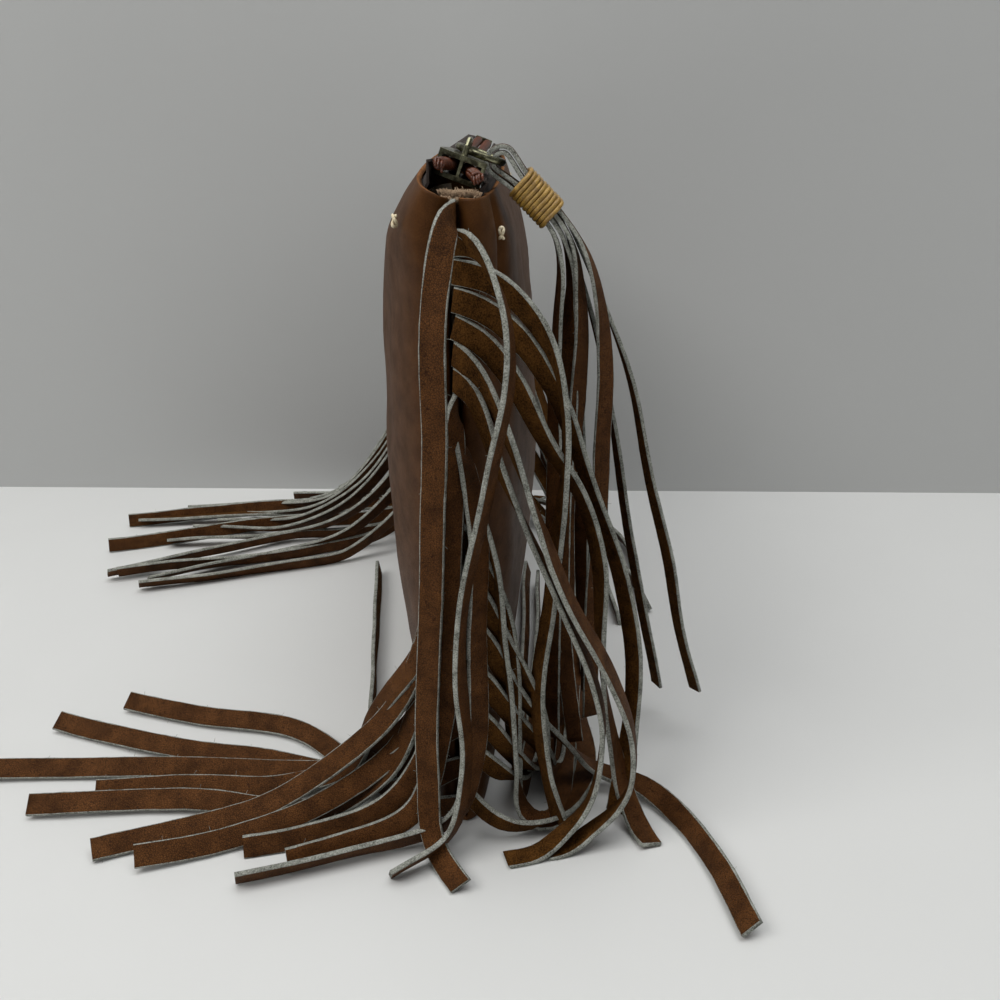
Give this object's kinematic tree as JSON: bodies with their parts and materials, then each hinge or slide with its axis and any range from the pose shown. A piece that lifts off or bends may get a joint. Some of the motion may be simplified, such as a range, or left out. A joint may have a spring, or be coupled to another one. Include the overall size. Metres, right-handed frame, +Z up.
{
  "type": "zip pouch bag",
  "caption": "Slim leather zip bag standing on its base, with slit leather fringe held in both end seams and a leather tassel on the zip's pull ring",
  "frame": {"origin": "The middle of the flat base's underside", "axes": "X along the bag and its zip, the near end at -X. Y from the front, where the tassel hangs, at -Y to the back. Z up."},
  "size_m": [0.3462, 0.2715, 0.2006],
  "materials": {
    "grain_leather": "smooth grain leather, raw pale edges",
    "fringe_leather": "grain one side, suede flesh the other, raw pale cut edges",
    "cotton": "plain woven cotton",
    "tape_weave": "woven zip tape",
    "coil_nylon": "brown coil",
    "aged_brass": "aged, dark",
    "waxed_thread": "waxed golden thread",
    "cream_thread": "cream thread"
  },
  "bodies": {
    "bag": {"leather_body": "grain_leather", "lining": "cotton", "zip_tape_front": "tape_weave", "zip_tape_back": "tape_weave", "zip_coil_front": "coil_nylon", "zip_coil_back": "coil_nylon", "zip_stop": "aged_brass", "near_fringe": "fringe_leather", "far_fringe": "fringe_leather", "bar_tack_near_front": "cream_thread", "bar_tack_near_back": "cream_thread", "bar_tack_far_front": "cream_thread", "bar_tack_far_back": "cream_thread"},
    "slider": {"zip_slider": "aged_brass"},
    "ring": {"pull_ring": "aged_brass"},
    "tassel": {"tassel_strip_1": "fringe_leather", "tassel_strip_2": "fringe_leather", "tassel_strip_3": "fringe_leather", "tassel_strip_4": "fringe_leather", "thread_wrap": "waxed_thread"}
  },
  "joints": [
    {"name": "zip_slide", "type": "slide", "parent": "bag", "child": "slider", "axis": [1, 0, 0], "range_m": [0, 0.166], "deforming": ["zip_coil_front", "zip_coil_back", "zip_tape_front", "zip_tape_back"]},
    {"name": "ring_hinge", "type": "hinge", "parent": "slider", "child": "ring", "pos_m": [-0.091, -0.00257, 0.19732], "axis": [-0.5938, -0.7561, -0.2752], "range_deg": [0, 120]},
    {"name": "tassel_hinge", "type": "hinge", "parent": "ring", "child": "tassel", "pos_m": [-0.08585, -0.01216, 0.19383], "axis": [-1, 0, 0], "range_deg": [0, 90]}
  ]
}
